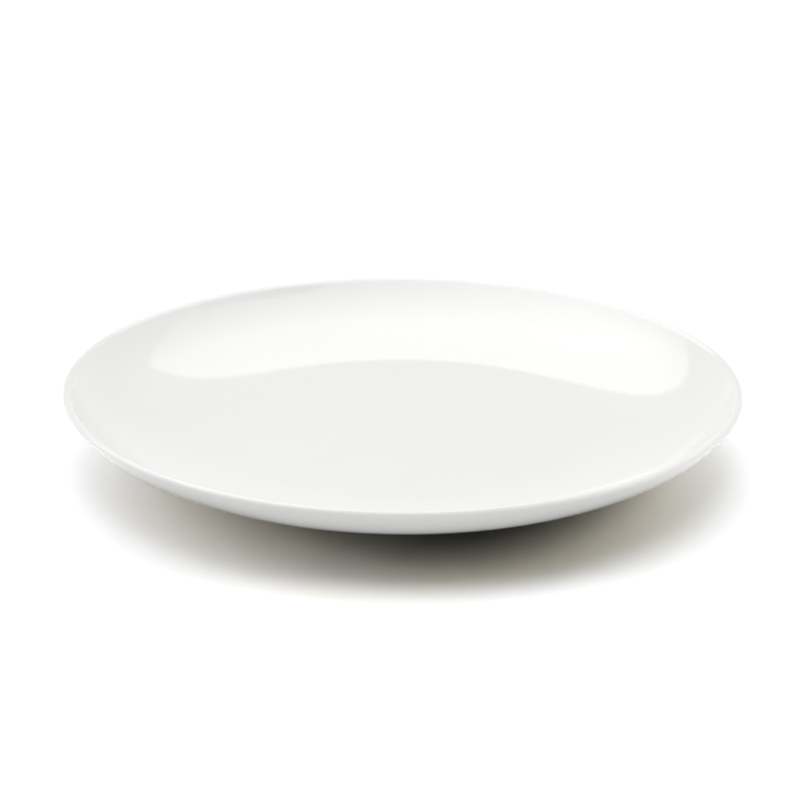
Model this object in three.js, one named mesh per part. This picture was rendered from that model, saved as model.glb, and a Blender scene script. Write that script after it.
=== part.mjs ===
// A round coupe plate in white glazed porcelain: a shallow dish that curves up to its lip, without a rim.
// The fired clay body and the two skins of glaze on it are separate solids, all turned about the Z axis.
// Millimetres, +Z up. The origin is the middle of the foot ring, on the surface that the plate stands on.

import * as THREE from 'three';

// Overall size, over the glaze
const plateDiameter = 270;
const plateHeight = 30;

// Face: a flat floor, a slow belly curve, a tighter shoulder and the lip
const wellFloorDiameter = 132;
const faceShoulderRadius = 37;
const lipInnerRadius = 3.5; // the lip rolls over softly from the face
const lipOuterRadius = 1; // and turns down sharply outside
const lipSlope = 53; // degrees above level, of the wall where it reaches the lip

// Underside
const baseThickness = 5.2; // from the well's floor to the recess under it
const undersideFlatDiameter = 124; // where the belly starts to rise, inside the foot ring
const undersideShoulderRadius = 49;

// Foot ring
const footDiameter = 160;
const footWidth = 6;
const footHeight = 3; // depth of the recess inside the ring
const footRootRadius = 1.5; // hollow corner between the ring and the plate
const footEdgeRadius = 0.8; // rounded edges of the bare ring

// Glaze
const glazeThickness = 0.3;
const bareFootHeight = 1.2; // the ring is wiped clean of glaze up to here

// Facets
const stepsAround = 60;
const bellySteps = 4;
const shoulderSteps = 5;
const lipSteps = 3;
const cornerSteps = 2;

const glazeFinish = { color: 0xf1f1ef, roughness: 0.12, metalness: 0 };
const bareFinish = { color: 0xe9e4da, roughness: 0.75, metalness: 0 };

// Heights and radii that follow from the driving sizes
const lipAngle = THREE.MathUtils.degToRad(lipSlope);
const lipCrestRadius = plateDiameter / 2 - lipOuterRadius;
const lipInnerCentre = new THREE.Vector2(lipCrestRadius, plateHeight - lipInnerRadius);
const lipOuterCentre = new THREE.Vector2(lipCrestRadius, plateHeight - lipOuterRadius);
const floorHeight = footHeight + baseThickness;
const footOuterRadius = footDiameter / 2;
const footInnerRadius = footOuterRadius - footWidth;

// Points on a circle, from one angle to another. Angles turn from the +R axis towards +Z.
function arc(centre, radius, fromAngle, toAngle, steps) {
  const points = [];
  for (let step = 0; step <= steps; step += 1) {
    const angle = THREE.MathUtils.lerp(fromAngle, toAngle, step / steps);
    const radial = centre.x + radius * Math.cos(angle);
    const height = centre.y + radius * Math.sin(angle);
    points.push(new THREE.Vector2(radial, height));
  }
  return points;
}

// A wall surface of two tangent arcs: the belly leaves a level flat, and the shoulder takes over from it
// and reaches the lip at the lip's slope. Gives both centres, both radii and the slope where they join.
function wallCurve(flatRadius, flatHeight, wallTop, shoulderRadius) {
  const shoulderCentre = new THREE.Vector2(
    wallTop.x - shoulderRadius * Math.sin(lipAngle),
    wallTop.y + shoulderRadius * Math.cos(lipAngle),
  );
  const across = shoulderCentre.x - flatRadius;
  const up = shoulderCentre.y - flatHeight;
  const bellyRadius = (across ** 2 + up ** 2 - shoulderRadius ** 2) / (2 * (up - shoulderRadius));
  const bellyCentre = new THREE.Vector2(flatRadius, flatHeight + bellyRadius);
  const joinSlope = Math.asin(across / (bellyRadius - shoulderRadius));
  return { bellyCentre, bellyRadius, shoulderCentre, shoulderRadius, joinSlope };
}

// Both walls reach the lip with the same slope.
const faceTop = new THREE.Vector2(
  lipInnerCentre.x - lipInnerRadius * Math.sin(lipAngle),
  lipInnerCentre.y + lipInnerRadius * Math.cos(lipAngle),
);
const undersideTop = new THREE.Vector2(
  lipOuterCentre.x + lipOuterRadius * Math.sin(lipAngle),
  lipOuterCentre.y - lipOuterRadius * Math.cos(lipAngle),
);

const face = wallCurve(wellFloorDiameter / 2, floorHeight, faceTop, faceShoulderRadius);
const underside = wallCurve(undersideFlatDiameter / 2, footHeight, undersideTop, undersideShoulderRadius);

// A wall's own slope is also the angle of its surface from straight down, seen from the arc's centre.
const straightDown = -Math.PI / 2;
const straightUp = Math.PI / 2;
const outwards = 0;
const inwards = Math.PI;

// From the middle of the face over the lip to the foot ring's outer side. The inset is the depth below the
// surface of the glaze: 0 for that surface, the glaze's thickness for the clay under it.
function outerOutline(inset) {
  const rootCentre = new THREE.Vector2(footOuterRadius + footRootRadius, 0);
  const rootReach = underside.bellyRadius + footRootRadius;
  const rootAcross = rootCentre.x - underside.bellyCentre.x;
  rootCentre.y = underside.bellyCentre.y - Math.sqrt(rootReach ** 2 - rootAcross ** 2);
  const rootSlope = Math.asin(rootAcross / rootReach);

  return [
    new THREE.Vector2(0, floorHeight - inset),
    ...arc(face.bellyCentre, face.bellyRadius + inset,
      straightDown, straightDown + face.joinSlope, bellySteps),
    ...arc(face.shoulderCentre, face.shoulderRadius + inset,
      straightDown + face.joinSlope, straightDown + lipAngle, shoulderSteps).slice(1),
    ...arc(lipInnerCentre, lipInnerRadius - inset, straightUp + lipAngle, straightUp, lipSteps).slice(1),
    ...arc(lipOuterCentre, lipOuterRadius - inset, straightUp, outwards, lipSteps).slice(1),
    ...arc(lipOuterCentre, lipOuterRadius - inset, outwards, straightDown + lipAngle, lipSteps).slice(1),
    ...arc(underside.shoulderCentre, underside.shoulderRadius - inset,
      straightDown + lipAngle, straightDown + underside.joinSlope, shoulderSteps).slice(1),
    ...arc(underside.bellyCentre, underside.bellyRadius - inset,
      straightDown + underside.joinSlope, straightDown + rootSlope, bellySteps).slice(1),
    ...arc(rootCentre, footRootRadius + inset,
      straightUp + rootSlope, inwards, cornerSteps).slice(1),
    new THREE.Vector2(footOuterRadius - inset, bareFootHeight),
  ];
}

// From the foot ring's inner side up and over the recess to the middle.
function recessOutline(inset) {
  const rootCentre = new THREE.Vector2(footInnerRadius - footRootRadius, footHeight - footRootRadius);
  return [
    new THREE.Vector2(footInnerRadius + inset, bareFootHeight),
    ...arc(rootCentre, footRootRadius + inset, outwards, straightUp, cornerSteps),
    new THREE.Vector2(0, footHeight + inset),
  ];
}

// The bare bottom of the ring, between the two glaze lines.
function bareFootOutline() {
  const outerEdge = new THREE.Vector2(footOuterRadius - glazeThickness - footEdgeRadius, footEdgeRadius);
  const innerEdge = new THREE.Vector2(footInnerRadius + glazeThickness + footEdgeRadius, footEdgeRadius);
  return [
    ...arc(outerEdge, footEdgeRadius, outwards, straightDown, cornerSteps),
    ...arc(innerEdge, footEdgeRadius, straightDown, -inwards, cornerSteps),
  ];
}

// Turns an outline, given from the top middle round to the bottom, about the plate's axis.
function turned(name, outline, finish) {
  const geometry = new THREE.LatheGeometry(outline.toReversed(), stepsAround);
  geometry.rotateX(Math.PI / 2);
  const mesh = new THREE.Mesh(geometry, new THREE.MeshStandardMaterial(finish));
  mesh.name = name;
  return mesh;
}

// A lathe splits each four-sided facet along one diagonal, and along the other where the outline runs
// backwards, as it does on the underside of a skin. Swapping a skin's diagonals makes it meet the clay
// triangle for triangle, with nothing between them and no overlap.
function skin(name, outline) {
  const mesh = turned(name, outline, glazeFinish);
  const corners = mesh.geometry.index.array;
  const cornersPerFacet = 6; // two triangles
  for (let first = 0; first < corners.length; first += cornersPerFacet) {
    const [a, b, d, c] = corners.slice(first, first + 4);
    corners.set([a, b, c, a, c, d], first);
  }
  return mesh;
}

const clayOuter = outerOutline(glazeThickness);
const clayRecess = recessOutline(glazeThickness);

const plate = new THREE.Group();
plate.name = 'coupe_plate';
plate.add(
  turned('porcelain_body', [...clayOuter, ...bareFootOutline(), ...clayRecess], bareFinish),
  skin('glaze_coat', [...outerOutline(0), ...clayOuter.toReversed()]),
  skin('glaze_foot_well', [...clayRecess.toReversed(), ...recessOutline(0)]),
);

export default plate;
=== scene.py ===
"""A round coupe plate in white glazed porcelain, on a white sweep under a large overhead softbox.

The fired clay body and its two skins of glaze are turned from one outline, as the clay is turned on a wheel.
Lengths are in metres unless a name ends in _mm. +Z is up, and the origin is the middle of the foot ring.
"""
import math

import bmesh
import bpy
from mathutils import Matrix, Vector


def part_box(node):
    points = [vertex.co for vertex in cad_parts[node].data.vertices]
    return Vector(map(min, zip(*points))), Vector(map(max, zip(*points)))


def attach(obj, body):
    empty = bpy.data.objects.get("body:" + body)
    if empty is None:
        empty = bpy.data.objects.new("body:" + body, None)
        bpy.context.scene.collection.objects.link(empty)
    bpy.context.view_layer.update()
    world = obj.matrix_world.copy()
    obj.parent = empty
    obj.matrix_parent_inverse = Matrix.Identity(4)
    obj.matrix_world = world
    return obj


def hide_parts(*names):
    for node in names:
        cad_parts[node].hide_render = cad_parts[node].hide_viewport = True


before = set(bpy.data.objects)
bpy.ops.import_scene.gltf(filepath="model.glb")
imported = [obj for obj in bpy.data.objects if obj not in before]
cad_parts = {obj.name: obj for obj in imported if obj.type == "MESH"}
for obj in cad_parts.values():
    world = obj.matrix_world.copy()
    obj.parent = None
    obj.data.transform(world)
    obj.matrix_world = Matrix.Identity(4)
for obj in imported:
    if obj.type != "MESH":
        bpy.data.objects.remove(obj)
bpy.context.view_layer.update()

MM = 0.001
quarter_turn = math.pi / 2

# Sizes that the frame gives
coat_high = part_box("glaze_coat")[1]
body_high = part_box("porcelain_body")[1]
recess_low, recess_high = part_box("glaze_foot_well")
plate_radius = coat_high[0]
plate_height = coat_high[2]
glaze_thickness = coat_high[0] - body_high[0]
glaze_line = recess_low[2]
foot_height = recess_high[2] - glaze_thickness
foot_inner_radius = recess_high[0] - glaze_thickness

# Sizes of the outline, the same as in the solids
well_floor_radius = 66 * MM
face_shoulder_radius = 37 * MM
lip_inner_radius = 3.5 * MM
lip_outer_radius = 1.0 * MM
lip_slope = math.radians(53)
base_thickness = 5.2 * MM
underside_flat_radius = 62 * MM
underside_shoulder_radius = 49 * MM
foot_outer_radius = 80 * MM
foot_root_radius = 1.5 * MM
foot_edge_radius = 0.8 * MM

# Steps of the turned meshes
steps_around = 384
belly_steps = 14
shoulder_steps = 18
lip_steps = 14
corner_steps = 6

# The studio
studio_radius = 10.0
paper_shade = 0.04

# Heights, centres and ends that follow from the sizes
well_floor_height = foot_height + base_thickness
lip_crest_radius = plate_radius - lip_outer_radius
lip_inner_centre = Vector((lip_crest_radius, plate_height - lip_inner_radius))
lip_outer_centre = Vector((lip_crest_radius, plate_height - lip_outer_radius))
wall_normal = Vector((math.sin(lip_slope), -math.cos(lip_slope)))
face_top = lip_inner_centre - lip_inner_radius * wall_normal
underside_top = lip_outer_centre + lip_outer_radius * wall_normal

# The colour sockets of a Mix node share their names with its other sockets, so they go by place.
first_colour = 6
second_colour = 7
mixed_colour = 2


def wall_curve(flat_radius, flat_height, wall_top, shoulder_radius):
    """Two tangent arcs from a level flat to the top of a wall, where the lip begins: the centre and radius of
    the belly, the centre of the shoulder, and the slope where the two arcs join."""
    shoulder_centre = wall_top - shoulder_radius * wall_normal
    across = shoulder_centre.x - flat_radius
    up = shoulder_centre.y - flat_height
    belly_radius = (across**2 + up**2 - shoulder_radius**2) / (2 * (up - shoulder_radius))
    belly_centre = Vector((flat_radius, flat_height + belly_radius))
    join_slope = math.asin(across / (belly_radius - shoulder_radius))
    return belly_centre, belly_radius, shoulder_centre, join_slope


def begin(shape, radial, height):
    """The first point of an outline, in the plane where Y is 0."""
    return shape.verts.new((radial, 0, height))


def line(shape, end, radial, height):
    """Takes an outline straight on to a point, and gives the new end."""
    point = shape.verts.new((radial, 0, height))
    shape.edges.new((end, point))
    return point


def arc(shape, end, centre, angle, steps):
    """Takes an outline's end round a centre. A positive angle turns from outwards towards up."""
    swept = bmesh.ops.spin(
        shape, geom=[end], cent=(centre[0], 0, centre[1]), axis=(0, -1, 0), angle=angle, steps=steps
    )
    return next(item for item in swept["geom_last"] if isinstance(item, bmesh.types.BMVert))


def trace_outside(shape, inset):
    """From the middle of the face over the lip to the top of the foot ring's outer wall. The inset is the
    depth under the surface of the glaze. Gives the outline's end."""
    belly, _, shoulder, join = wall_curve(
        well_floor_radius, well_floor_height, face_top, face_shoulder_radius
    )
    end = begin(shape, 0, well_floor_height - inset)
    end = line(shape, end, well_floor_radius, well_floor_height - inset)
    end = arc(shape, end, belly, join, belly_steps)
    end = arc(shape, end, shoulder, lip_slope - join, shoulder_steps)
    end = arc(shape, end, lip_inner_centre, -lip_slope, lip_steps)
    end = arc(shape, end, lip_outer_centre, lip_slope - math.pi, lip_steps)

    belly, belly_radius, shoulder, join = wall_curve(
        underside_flat_radius, foot_height, underside_top, underside_shoulder_radius
    )
    root_across = foot_outer_radius + foot_root_radius - belly.x
    root_reach = belly_radius + foot_root_radius
    root_slope = math.asin(root_across / root_reach)
    root_centre = (belly.x + root_across, belly.y - root_reach * math.cos(root_slope))
    end = arc(shape, end, shoulder, join - lip_slope, shoulder_steps)
    end = arc(shape, end, belly, root_slope - join, belly_steps)
    return arc(shape, end, root_centre, quarter_turn - root_slope, corner_steps)


def trace_recess(shape, inset):
    """From the middle of the recess under the plate to the top of the foot ring's inner wall."""
    root_centre = (foot_inner_radius - foot_root_radius, foot_height - foot_root_radius)
    end = begin(shape, 0, foot_height + inset)
    end = line(shape, end, root_centre[0], foot_height + inset)
    return arc(shape, end, root_centre, -quarter_turn, corner_steps)


def close_glaze_edge(shape, outer_end, clay_end, wall_radius, side):
    """Ends a skin of glaze on the foot ring's wall with the rounded edge that molten glaze draws itself into.
    side is 1 on the ring's outer wall and -1 on its inner wall."""
    clay_radius = wall_radius - side * glaze_thickness
    edge_centre = (clay_radius, glaze_line + glaze_thickness)
    outer_end = line(shape, outer_end, wall_radius, edge_centre[1])
    arc(shape, outer_end, edge_centre, -side * quarter_turn, corner_steps)
    line(shape, clay_end, clay_radius, glaze_line)


def turn(name, shape):
    """Turns an outline about the plate's axis into a closed, smooth piece."""
    merge_distance = 0.001 * MM
    bmesh.ops.spin(
        shape,
        geom=shape.verts[:] + shape.edges[:],
        cent=(0, 0, 0),
        axis=(0, 0, 1),
        angle=2 * math.pi,
        steps=steps_around,
        use_merge=True,
    )
    bmesh.ops.remove_doubles(shape, verts=shape.verts[:], dist=merge_distance)
    bmesh.ops.recalc_face_normals(shape, faces=shape.faces[:])
    for face in shape.faces:
        face.smooth = True
    mesh = bpy.data.meshes.new(name)
    shape.to_mesh(mesh)
    shape.free()
    piece = bpy.data.objects.new(name, mesh)
    bpy.context.scene.collection.objects.link(piece)
    return piece


def make_glazed_outside():
    """The glaze over the face, the lip and the outside, down to the foot ring."""
    shape = bmesh.new()
    close_glaze_edge(
        shape, trace_outside(shape, 0), trace_outside(shape, glaze_thickness), foot_outer_radius, 1
    )
    return turn("glazed_face_and_outside", shape)


def make_glazed_recess():
    """The glaze in the recess inside the foot ring."""
    shape = bmesh.new()
    close_glaze_edge(
        shape, trace_recess(shape, 0), trace_recess(shape, glaze_thickness), foot_inner_radius, -1
    )
    return turn("glazed_recess", shape)


def make_clay_body():
    """The fired clay under the glaze, whose bare ring stands on the table."""
    shape = bmesh.new()
    outer_wall = foot_outer_radius - glaze_thickness
    inner_wall = foot_inner_radius + glaze_thickness
    end = trace_outside(shape, glaze_thickness)
    end = line(shape, end, outer_wall, foot_edge_radius)
    end = arc(shape, end, (outer_wall - foot_edge_radius, foot_edge_radius), -quarter_turn, corner_steps)
    end = line(shape, end, inner_wall + foot_edge_radius, 0)
    end = arc(shape, end, (inner_wall + foot_edge_radius, foot_edge_radius), -quarter_turn, corner_steps)
    recess_end = trace_recess(shape, glaze_thickness)
    shape.edges.new((end, recess_end))
    return turn("fired_clay_body", shape)


def linear(hex_colour):
    """An sRGB hex colour as the linear colour that shaders take."""
    channels = [int(hex_colour[start : start + 2], 16) / 255 for start in (1, 3, 5)]
    return [c / 12.92 if c <= 0.04045 else ((c + 0.055) / 1.055) ** 2.4 for c in channels] + [1.0]


def add_node(owner, kind, inputs=None, **settings):
    """Adds a shader node with its settings to a material or a world. Each input is a value, or the output of
    another node to link."""
    tree = owner.node_tree
    node = tree.nodes.new(kind)
    for name, value in settings.items():
        setattr(node, name, value)
    for socket, value in (inputs or {}).items():
        if isinstance(value, bpy.types.NodeSocket):
            tree.links.new(value, node.inputs[socket])
        else:
            node.inputs[socket].default_value = value
    return node


def new_material(name):
    """A material with no nodes in it yet."""
    material = bpy.data.materials.new(name)
    material.use_nodes = True
    material.node_tree.nodes.clear()
    return material


def glossy_white_glaze():
    """Clear feldspar glaze, dipped and fired to glass over white porcelain. It gives sharp reflections that
    waver a little where the glaze ran, a soft peel close up, and a warmer line where it drew thin on the
    lip."""
    glaze_white = linear("#ececeb")
    glaze_shade = linear("#eaeae9")
    thin_on_lip = linear("#eaeae8")
    run_mm = 38
    run_height_mm = 0.006
    run_detail = 1.0
    peel_mm = 1.6
    peel_height_mm = 0.0003
    peel_detail = 2.0
    lip_band_mm = 2.2
    smoothest = 0.05
    roughest = 0.08
    glass_ior = 1.5

    material = new_material("glossy_white_glaze")
    place = add_node(material, "ShaderNodeTexCoord").outputs["Object"]
    runs = add_node(
        material, "ShaderNodeTexNoise", {"Vector": place, "Scale": 1 / (run_mm * MM), "Detail": run_detail}
    )
    peel = add_node(
        material, "ShaderNodeTexNoise", {"Vector": place, "Scale": 1 / (peel_mm * MM), "Detail": peel_detail}
    )
    height = add_node(material, "ShaderNodeSeparateXYZ", {"Vector": place}).outputs["Z"]
    lip_mask = add_node(
        material,
        "ShaderNodeMapRange",
        {"Value": height, "From Min": plate_height - lip_band_mm * MM, "From Max": plate_height},
        interpolation_type="SMOOTHSTEP",
    )
    tone = add_node(
        material,
        "ShaderNodeMix",
        {"Factor": runs.outputs["Fac"], first_colour: glaze_white, second_colour: glaze_shade},
        data_type="RGBA",
    )
    colour = add_node(
        material,
        "ShaderNodeMix",
        {
            "Factor": lip_mask.outputs["Result"],
            first_colour: tone.outputs[mixed_colour],
            second_colour: thin_on_lip,
        },
        data_type="RGBA",
    )
    roughness = add_node(
        material,
        "ShaderNodeMapRange",
        {"Value": runs.outputs["Fac"], "To Min": smoothest, "To Max": roughest},
    )
    run_bump = add_node(
        material, "ShaderNodeBump", {"Height": runs.outputs["Fac"], "Distance": run_height_mm * MM}
    )
    peel_bump = add_node(
        material,
        "ShaderNodeBump",
        {
            "Height": peel.outputs["Fac"],
            "Distance": peel_height_mm * MM,
            "Normal": run_bump.outputs["Normal"],
        },
    )
    surface = add_node(
        material,
        "ShaderNodeBsdfPrincipled",
        {
            "Base Color": colour.outputs[mixed_colour],
            "Roughness": roughness.outputs["Result"],
            "Normal": peel_bump.outputs["Normal"],
            "IOR": glass_ior,
        },
    )
    add_node(material, "ShaderNodeOutputMaterial", {"Surface": surface.outputs["BSDF"]})
    return material


def bare_porcelain():
    """Unglazed porcelain, wiped clean and fired hard. It is matt and a little cream beside the glaze, with
    the fine grit of the clay and grey rubbing where the ring has stood."""
    clay_light = linear("#e9e4da")
    clay_dark = linear("#dcd5c8")
    rubbed = linear("#c4beb4")
    grit_mm = 0.5  # coarser than the real grit, so that it shows
    grit_height_mm = 0.02
    grit_detail = 4.0
    rubbing_mm = 9
    rubbing_detail = 5.0
    rubbed_band_mm = 0.12
    matt = 0.78
    clay_ior = 1.5

    material = new_material("bare_porcelain")
    place = add_node(material, "ShaderNodeTexCoord").outputs["Object"]
    grit = add_node(
        material, "ShaderNodeTexNoise", {"Vector": place, "Scale": 1 / (grit_mm * MM), "Detail": grit_detail}
    )
    patches = add_node(
        material,
        "ShaderNodeTexNoise",
        {"Vector": place, "Scale": 1 / (rubbing_mm * MM), "Detail": rubbing_detail},
    )
    height = add_node(material, "ShaderNodeSeparateXYZ", {"Vector": place}).outputs["Z"]
    underneath = add_node(
        material,
        "ShaderNodeMapRange",
        {"Value": height, "From Min": 0.0, "From Max": rubbed_band_mm * MM, "To Min": 1.0, "To Max": 0.0},
    )
    rubbing = add_node(
        material,
        "ShaderNodeMath",
        {0: underneath.outputs["Result"], 1: patches.outputs["Fac"]},
        operation="MULTIPLY",
    )
    fired_clay = add_node(
        material,
        "ShaderNodeMix",
        {"Factor": grit.outputs["Fac"], first_colour: clay_light, second_colour: clay_dark},
        data_type="RGBA",
    )
    colour = add_node(
        material,
        "ShaderNodeMix",
        {
            "Factor": rubbing.outputs["Value"],
            first_colour: fired_clay.outputs[mixed_colour],
            second_colour: rubbed,
        },
        data_type="RGBA",
    )
    bump = add_node(
        material, "ShaderNodeBump", {"Height": grit.outputs["Fac"], "Distance": grit_height_mm * MM}
    )
    surface = add_node(
        material,
        "ShaderNodeBsdfPrincipled",
        {
            "Base Color": colour.outputs[mixed_colour],
            "Roughness": matt,
            "Normal": bump.outputs["Normal"],
            "IOR": clay_ior,
        },
    )
    add_node(material, "ShaderNodeOutputMaterial", {"Surface": surface.outputs["BSDF"]})
    return material


def matt_paper(name, shade):
    """Matt studio paper, with no gloss at all."""
    material = new_material(name)
    paper = add_node(material, "ShaderNodeBsdfDiffuse", {"Color": (shade, shade, shade, 1.0)})
    add_node(material, "ShaderNodeOutputMaterial", {"Surface": paper.outputs["BSDF"]})
    return material


def white_wall():
    """Painted studio wall, lit until it is plain white."""
    wall_strength = 1.0
    material = new_material("white_wall")
    glow = add_node(material, "ShaderNodeEmission", {"Strength": wall_strength})
    add_node(material, "ShaderNodeOutputMaterial", {"Surface": glow.outputs["Emission"]})
    return material


def glow_by_distance(name, middle, near, far, near_strength, far_strength):
    """A plain glow that changes softly with the distance from a point."""
    material = new_material(name)
    place = add_node(material, "ShaderNodeTexCoord").outputs["Object"]
    distance = add_node(material, "ShaderNodeVectorMath", {0: place, 1: middle}, operation="DISTANCE")
    radiance = add_node(
        material,
        "ShaderNodeMapRange",
        {
            "Value": distance.outputs["Value"],
            "From Min": near,
            "From Max": far,
            "To Min": near_strength,
            "To Max": far_strength,
        },
        interpolation_type="SMOOTHSTEP",
    )
    glow = add_node(material, "ShaderNodeEmission", {"Strength": radiance.outputs["Result"]})
    add_node(material, "ShaderNodeOutputMaterial", {"Surface": glow.outputs["Emission"]})
    return material


def set_up(name, shape, material):
    """Puts a piece of the studio in place from its finished shape."""
    mesh = bpy.data.meshes.new(name)
    shape.to_mesh(mesh)
    shape.free()
    mesh.materials.append(material)
    thing = bpy.data.objects.new(name, mesh)
    bpy.context.scene.collection.objects.link(thing)
    return thing


def hide_from(thing, *rays):
    """Takes a piece of the studio out of some kinds of rays: those that the camera sends out, those that matt
    and glossy surfaces send on, and those that test for shadow."""
    for kind in rays:
        setattr(thing, "visible_" + kind, False)


def hang_lamp(name, turned, spread, strength, colour):
    """A broad lamp a long way off, which the glaze doesn't mirror. It shines straight down until turned."""
    lamp = bpy.data.lights.new(name, "SUN")
    lamp.color = colour
    lamp.angle = spread
    lamp.energy = strength
    light = bpy.data.objects.new(name, lamp)
    light.rotation_euler = turned.to_euler()
    hide_from(light, "glossy")
    bpy.context.scene.collection.objects.link(light)
    return light


def lay_paper(name, material, depth):
    """A round sheet of paper under the plate, as far as the eye can see."""
    edge_steps = 96
    shape = bmesh.new()
    bmesh.ops.create_circle(shape, cap_ends=True, segments=edge_steps, radius=studio_radius)
    bmesh.ops.translate(shape, vec=(0, 0, -depth), verts=shape.verts[:])
    return set_up(name, shape, material)


def lay_sweep():
    """The floor is three sheets. The first is the one in view, and is lit past white so that only the shadow
    shows on it. The second, unseen, gives the studio's even light back to the plate. The third is what the
    glaze mirrors: a glowing sheet that stands for lit white paper, with the plate's shadow painted on it as a
    dimmer glow in front of the plate."""
    even_shade = 0.9
    # Painted shadow on the mirrored sheet: its glow is dimmest within the core round this point in front of
    # the plate, and full beyond the reach
    painted_shadow_middle = Vector((0, -75 * MM, 0))
    painted_shadow_core = 60 * MM
    painted_shadow_reach = 150 * MM
    painted_shadow_strength = 0.12
    open_strength = 1.1
    gap = 0.05 * MM

    in_view = lay_paper("sweep_in_view", matt_paper("white_paper", paper_shade), 0)
    hide_from(in_view, "diffuse", "glossy", "shadow")
    under_plate = lay_paper("sweep_under_plate", matt_paper("even_paper", even_shade), gap)
    hide_from(under_plate, "camera", "glossy")
    # The mirrored sheet glows with no lamp on it, and the plate's shadow is painted into its glow
    painted_shadow_glow = glow_by_distance(
        "painted_shadow_paper", painted_shadow_middle, painted_shadow_core, painted_shadow_reach, painted_shadow_strength, open_strength
    )
    in_glaze = lay_paper("sweep_in_glaze", painted_shadow_glow, 2 * gap)
    hide_from(in_glaze, "camera", "diffuse", "shadow")
    return in_view


def light_sweep(sweep):
    """Light on the paper alone: a few broad lamps, and a glow from low down round the back. The plate stands
    in its way, so it throws the soft shadow in front. What creeps in from the sides is warmer than the
    rest."""
    warm = linear("#fff6db")[:3]
    white = linear("#ffffff")[:3]
    cool = linear("#e7efff")[:3]
    # Azimuths, clockwise from straight behind, then elevation and spread in degrees, strength and colour
    groups = [
        ([0], 89, 40, 0.96, cool),
        ([-80], 55, 44, 0.77, white),
        ([40], 55, 44, 0.49, white),
        ([-120], 30, 32, 0.17, white),
        ([-90], 30, 32, 0.72, cool),
        ([60], 30, 32, 0.75, cool),
        ([90], 30, 32, 1.22, warm),
        ([-90], 12, 20, 1.0, warm),
        ([-75, -60, -45], 12, 20, 1.17, warm),
        ([-30, -15, 0, 15], 12, 20, 1.35, cool),
        ([30, 45], 12, 20, 1.22, warm),
    ]
    lit_alone = bpy.data.collections.new("lit_alone")
    lit_alone.objects.link(sweep)
    for azimuths, elevation, spread, strength, colour in groups:
        for azimuth in azimuths:
            turn_to_side = Matrix.Rotation(math.radians(-azimuth), 3, "Z")
            lean_down = Matrix.Rotation(math.radians(elevation) - quarter_turn, 3, "X")
            turned = turn_to_side @ lean_down
            light = hang_lamp("sweep_lamp", turned, math.radians(spread), strength / paper_shade, colour)
            light.light_linking.receiver_collection = lit_alone


def raise_backdrop():
    """The white walls and ceiling far off, seen only from low down."""
    steps_round = 64
    steps_up = 32
    shape = bmesh.new()
    bmesh.ops.create_uvsphere(shape, u_segments=steps_round, v_segments=steps_up, radius=studio_radius)
    backdrop = set_up("backdrop", shape, white_wall())
    hide_from(backdrop, "diffuse", "glossy", "shadow")


def hang_softbox():
    """One large many-sided softbox over and behind the plate. The glaze mirrors it on the far wall, and one
    broad lamp stands for the light that it throws."""
    hang_height = 4.0
    # To the right and away from the camera, for a height of 1
    corners = [
        (-2.4, -1.2),
        (0.3, -1.2),
        (0.45, -0.3),
        (1.1, 0.2),
        (0.53, 1.21),
        (-0.2, 1.87),
        (-1.2, 1.53),
        (-2.4, 1.2),
    ]
    glow_middle = hang_height * Vector((-0.65, -0.15, 1.0))
    glow_reach = 1.8 * hang_height
    brightest = 4.3
    dimmest = 1.55
    lamp_from = Vector((-0.45, 0.35, 1.0))
    lamp_spread = math.radians(100)
    lamp_strength = 0.73
    lamp_white = linear("#ffffff")[:3]

    shape = bmesh.new()
    shape.faces.new([shape.verts.new(hang_height * Vector((x, y, 1.0))) for x, y in corners])
    cloth = glow_by_distance("glowing_cloth", glow_middle, 0, glow_reach, brightest, dimmest)
    softbox = set_up("softbox", shape, cloth)
    hide_from(softbox, "camera", "diffuse", "shadow")
    turned = (-lamp_from).to_track_quat("-Z", "Y")
    hang_lamp("softbox_light", turned, lamp_spread, lamp_strength, lamp_white)


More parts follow.
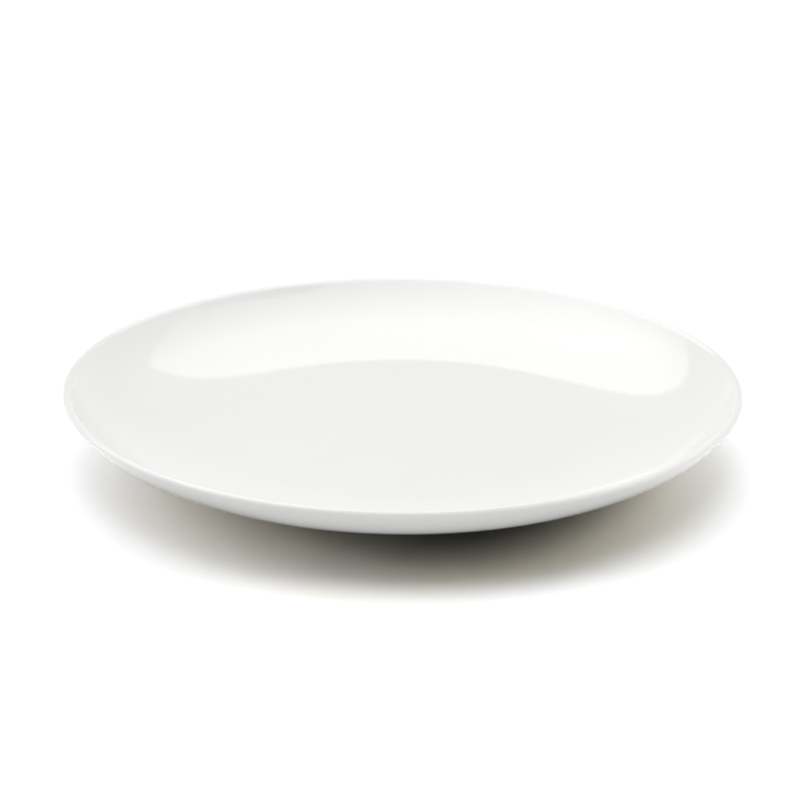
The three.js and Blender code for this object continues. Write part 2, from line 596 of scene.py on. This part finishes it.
def surround():
    """The white studio all round, which lights the plate and which the glaze mirrors. It is brightest low
    down at the right and dimmest on the camera's side."""
    studio_white = (0.8, 0.8, 0.8, 1.0)
    # How bright each ring of the studio is at the right, behind, at the left and in front
    horizon_ring = (1.09, 1.40, 0.75, 0.47)
    low_ring = (1.65, 1.00, 1.20, 0.47)
    middle_ring = (1.34, 0.68, 1.23, 0.40)
    overhead = 1.33
    # The sines of the elevations between which one ring fades into the next
    horizon_to_low = (0.03, 0.13)
    low_to_middle = (0.16, 0.42)
    middle_to_overhead = (0.5, 0.85)

    world = bpy.data.worlds.new("studio")
    world.use_nodes = True
    world.node_tree.nodes.clear()
    direction = add_node(world, "ShaderNodeTexCoord").outputs["Generated"]
    height = add_node(world, "ShaderNodeSeparateXYZ", {"Vector": direction}).outputs["Z"]
    flat = add_node(world, "ShaderNodeVectorMath", {0: direction, 1: (1, 1, 0)}, operation="MULTIPLY")
    level = add_node(world, "ShaderNodeVectorMath", {0: flat.outputs["Vector"]}, operation="NORMALIZE")

    # The squares of a level direction's parts add up to 1, so they share out a ring's four strengths.
    shares = []
    for side in ("MAXIMUM", "MINIMUM"):
        part = add_node(world, "ShaderNodeVectorMath", {0: level.outputs["Vector"]}, operation=side)
        square = add_node(
            world,
            "ShaderNodeVectorMath",
            {0: part.outputs["Vector"], 1: part.outputs["Vector"]},
            operation="MULTIPLY",
        )
        shares.append(square.outputs["Vector"])
    right_and_behind, left_and_front = shares

    strengths = []
    for right, behind, left, front in (horizon_ring, low_ring, middle_ring):
        halves = []
        for share, sides in ((right_and_behind, (right, behind, 0)), (left_and_front, (left, front, 0))):
            half = add_node(world, "ShaderNodeVectorMath", {0: share, 1: sides}, operation="DOT_PRODUCT")
            halves.append(half.outputs["Value"])
        ring = add_node(world, "ShaderNodeMath", {0: halves[0], 1: halves[1]}, operation="ADD")
        strengths.append(ring.outputs["Value"])
    strengths.append(overhead)

    radiance = strengths[0]
    fades = (horizon_to_low, low_to_middle, middle_to_overhead)
    for (fade_start, fade_end), above in zip(fades, strengths[1:]):
        fade = add_node(
            world,
            "ShaderNodeMapRange",
            {
                "Value": height,
                "From Min": fade_start,
                "From Max": fade_end,
                "To Min": radiance,
                "To Max": above,
            },
            interpolation_type="SMOOTHSTEP",
        )
        radiance = fade.outputs["Result"]
    background = add_node(world, "ShaderNodeBackground", {"Color": studio_white, "Strength": radiance})
    add_node(world, "ShaderNodeOutputWorld", {"Surface": background.outputs["Background"]})
    bpy.context.scene.world = world


def place_camera():
    """The camera looks down on the plate from in front, very slightly rolled."""
    lens_mm = 100
    sensor_mm = 36
    elevation = math.radians(20.06)
    distance = 890 * MM
    roll = math.radians(0.349)
    rim_centre = Vector((0, 0, plate_height))
    aim = Vector((-1.0 * MM, -3.1 * MM, 21.6 * MM))
    settings = bpy.data.cameras.new("camera")
    settings.lens = lens_mm
    settings.sensor_width = sensor_mm
    camera = bpy.data.objects.new("camera", settings)
    camera.location = rim_centre + distance * Vector((0, -math.cos(elevation), math.sin(elevation)))
    level = (aim - camera.location).to_track_quat("-Z", "Y").to_matrix()
    camera.rotation_euler = (level @ Matrix.Rotation(roll, 3, "Z")).to_euler()
    bpy.context.scene.collection.objects.link(camera)
    bpy.context.scene.camera = camera


def set_picture():
    """Colours as they are lit, in a slightly soft picture. Light goes to and fro many times between the white
    glaze and the white paper."""
    most_bounces = 32
    matt_bounces = 12
    softness_pixels = 2.2
    scene = bpy.context.scene
    scene.view_settings.view_transform = "Standard"
    scene.cycles.max_bounces = most_bounces
    scene.cycles.glossy_bounces = most_bounces
    scene.cycles.diffuse_bounces = matt_bounces
    scene.cycles.filter_width = softness_pixels


glaze = glossy_white_glaze()
clay = bare_porcelain()
for make, node, finish, slot in (
    (make_clay_body, "porcelain_body", clay, "bare_porcelain"),
    (make_glazed_outside, "glaze_coat", glaze, "white_glaze"),
    (make_glazed_recess, "glaze_foot_well", glaze, "white_glaze"),
):
    piece = make()
    piece.data.materials.append(finish)
    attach(piece, "root")
    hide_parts(node)

light_sweep(lay_sweep())
raise_backdrop()
hang_softbox()
surround()
place_camera()
set_picture()
